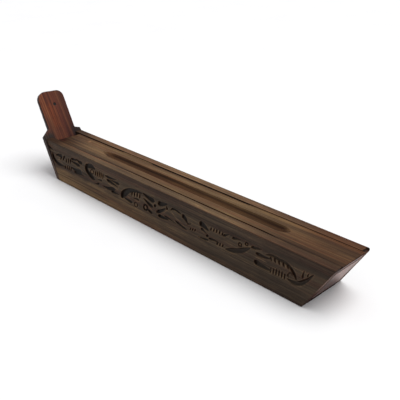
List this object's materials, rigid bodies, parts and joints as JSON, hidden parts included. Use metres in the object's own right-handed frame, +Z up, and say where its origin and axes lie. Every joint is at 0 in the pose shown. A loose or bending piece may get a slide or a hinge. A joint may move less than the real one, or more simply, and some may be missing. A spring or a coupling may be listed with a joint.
{
  "type": "incense burner",
  "caption": "Long wooden incense box with undercut ends, a grooved sliding lid with an ash trough, and a leaning tab that holds the stick.",
  "frame": {"origin": "centre of the box's footprint lengthwise at the top, on the floor's underside", "axes": "+X along the box from the stick holder (head) to the end the lid slides out of (tail), +Y across the box to the left of +X, +Z up"},
  "size_m": [0.3259, 0.0428, 0.0684],
  "materials": {
    "side_wood": "dark stained hardwood, hand rubbed, carved outside",
    "lid_wood": "dark stained hardwood with streaky grain, satin",
    "tab_wood": "reddish hardwood with orange streaks, satin",
    "pin_steel": "dull wire nail steel"
  },
  "bodies": {
    "box": {"near_side_wall": "side_wood", "far_side_wall": "side_wood", "floor_board": "side_wood", "tail_board": "side_wood", "stick_holder": "tab_wood", "holder_pins": "pin_steel", "tail_pins": "pin_steel"},
    "lid": {"lid": "lid_wood"}
  },
  "joints": [
    {"name": "lid_slide", "type": "slide", "parent": "box", "child": "lid", "axis": [1, 0, 0], "range_m": [0, 0.295]}
  ]
}
